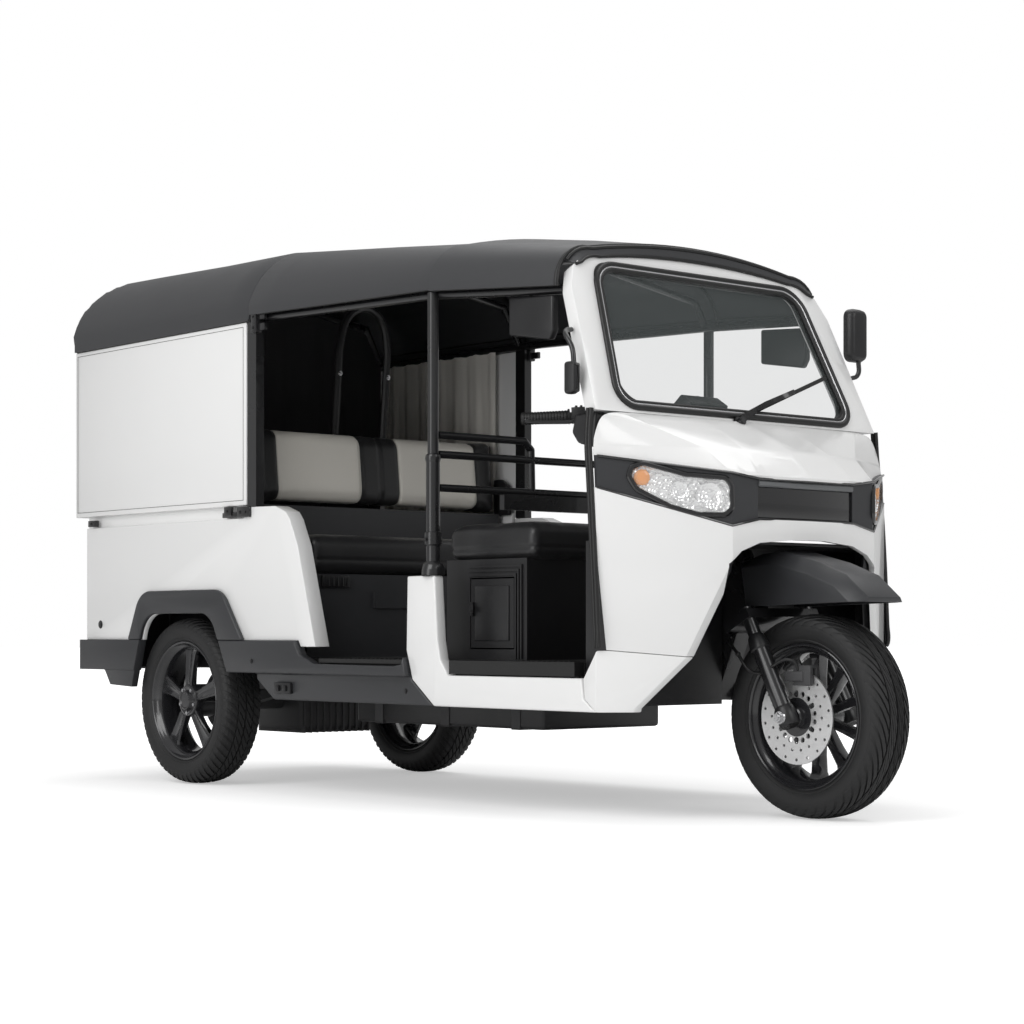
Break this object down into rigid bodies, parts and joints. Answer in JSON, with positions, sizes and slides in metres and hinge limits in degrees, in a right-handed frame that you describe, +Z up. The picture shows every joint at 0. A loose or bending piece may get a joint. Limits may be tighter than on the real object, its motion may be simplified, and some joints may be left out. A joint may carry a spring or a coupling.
{
  "type": "auto rickshaw",
  "caption": "Open-sided passenger tricycle with a steered front wheel, faceted nose, raked windshield, soft roof, passenger bench and boxed rear cabin.",
  "frame": {"origin": "on the ground, half way along the vehicle and on its centre plane", "axes": "+X forward, +Y to the vehicle's left, +Z up"},
  "size_m": [3.2, 1.184, 1.7499],
  "materials": {
    "white_paint": "gloss",
    "dark_paint": "satin",
    "black_frame": "gloss",
    "dark_plastic": "satin",
    "black_plastic": "matte",
    "roof_vinyl": "satin grain",
    "seat_vinyl": "satin",
    "curtain_cloth": "matte",
    "glass": "clear",
    "lamp_lens": "gloss",
    "red_lens": "gloss",
    "seal_rubber": "matte",
    "floor_rubber": "matte",
    "tyre_rubber": "matte",
    "rim_alloy": "gloss dark",
    "disc_steel": "brushed",
    "drive_metal": "matte"
  },
  "bodies": {
    "cab": {"chassis_frame": "black_frame", "floor_pan": "floor_rubber", "front_cowl": "white_paint", "front_skirts": "white_paint", "lamp_band": "dark_plastic", "headlamps": "lamp_lens", "grille": "dark_plastic", "wheel_well": "black_plastic", "dashboard": "black_plastic", "windshield_frame": "white_paint", "windshield_seal": "seal_rubber", "windshield_glass": "glass", "sills": "white_paint", "rear_body": "white_paint", "tail_lamps": "red_lens", "wheel_housings": "black_plastic", "wheel_flares": "dark_plastic", "rear_bumper": "dark_plastic", "side_skirts": "dark_plastic", "side_panels": "white_paint", "rear_panel": "white_paint", "rear_window": "glass", "roof_rear": "roof_vinyl", "roof_mid": "roof_vinyl", "roof_front": "roof_vinyl", "roof_frame": "black_frame", "partition_rail": "black_frame", "seat_base": "dark_plastic", "seat_cushion": "seat_vinyl", "seat_back": "seat_vinyl", "driver_box": "black_plastic", "driver_cushion": "seat_vinyl", "boot_floor": "dark_paint", "luggage_deck": "dark_paint", "curtains": "curtain_cloth", "power_unit": "drive_metal", "battery_case": "black_plastic", "rear_axle": "drive_metal", "mirrors": "black_plastic", "wiper": "black_frame", "roof_corner_flaps": "black_plastic"},
    "tail_lid_body": {"tail_lid": "white_paint"},
    "box_door_body": {"driver_box_door": "black_plastic"},
    "steering": {"fork": "black_frame", "handlebar": "black_frame", "front_fender": "dark_plastic", "brake_caliper": "drive_metal", "instrument_pod": "black_plastic"},
    "front_wheel": {"front_tyre": "tyre_rubber", "front_rim": "rim_alloy", "brake_disc": "disc_steel"},
    "rear_wheel_right": {"rear_tyre_right": "tyre_rubber", "rear_rim_right": "rim_alloy"},
    "rear_wheel_left": {"rear_tyre_left": "tyre_rubber", "rear_rim_left": "rim_alloy"}
  },
  "joints": [
    {"name": "steering_turn", "type": "hinge", "parent": "cab", "child": "steering", "pos_m": [1.0985, 0, 0.6061], "axis": [-0.4695, 0, 0.8829], "range_deg": [-35, 35]},
    {"name": "front_wheel_spin", "type": "hinge", "parent": "steering", "child": "front_wheel", "pos_m": [1.326, 0, 0.274], "axis": [0, 1, 0], "continuous": true},
    {"name": "rear_wheel_right_spin", "type": "hinge", "parent": "cab", "child": "rear_wheel_right", "pos_m": [-0.974, -0.4685, 0.274], "axis": [0, 1, 0], "continuous": true},
    {"name": "rear_wheel_left_spin", "type": "hinge", "parent": "cab", "child": "rear_wheel_left", "pos_m": [-0.974, 0.4685, 0.274], "axis": [0, 1, 0], "continuous": true},
    {"name": "tail_lid_hinge", "type": "hinge", "parent": "cab", "child": "tail_lid_body", "pos_m": [-1.525, 0, 0.843], "axis": [0, 1, 0], "range_deg": [0, 80]},
    {"name": "driver_box_door_hinge", "type": "hinge", "parent": "cab", "child": "box_door_body", "pos_m": [0.602, -0.451, 0.5525], "axis": [0, 0, 1], "range_deg": [0, 100]}
  ]
}
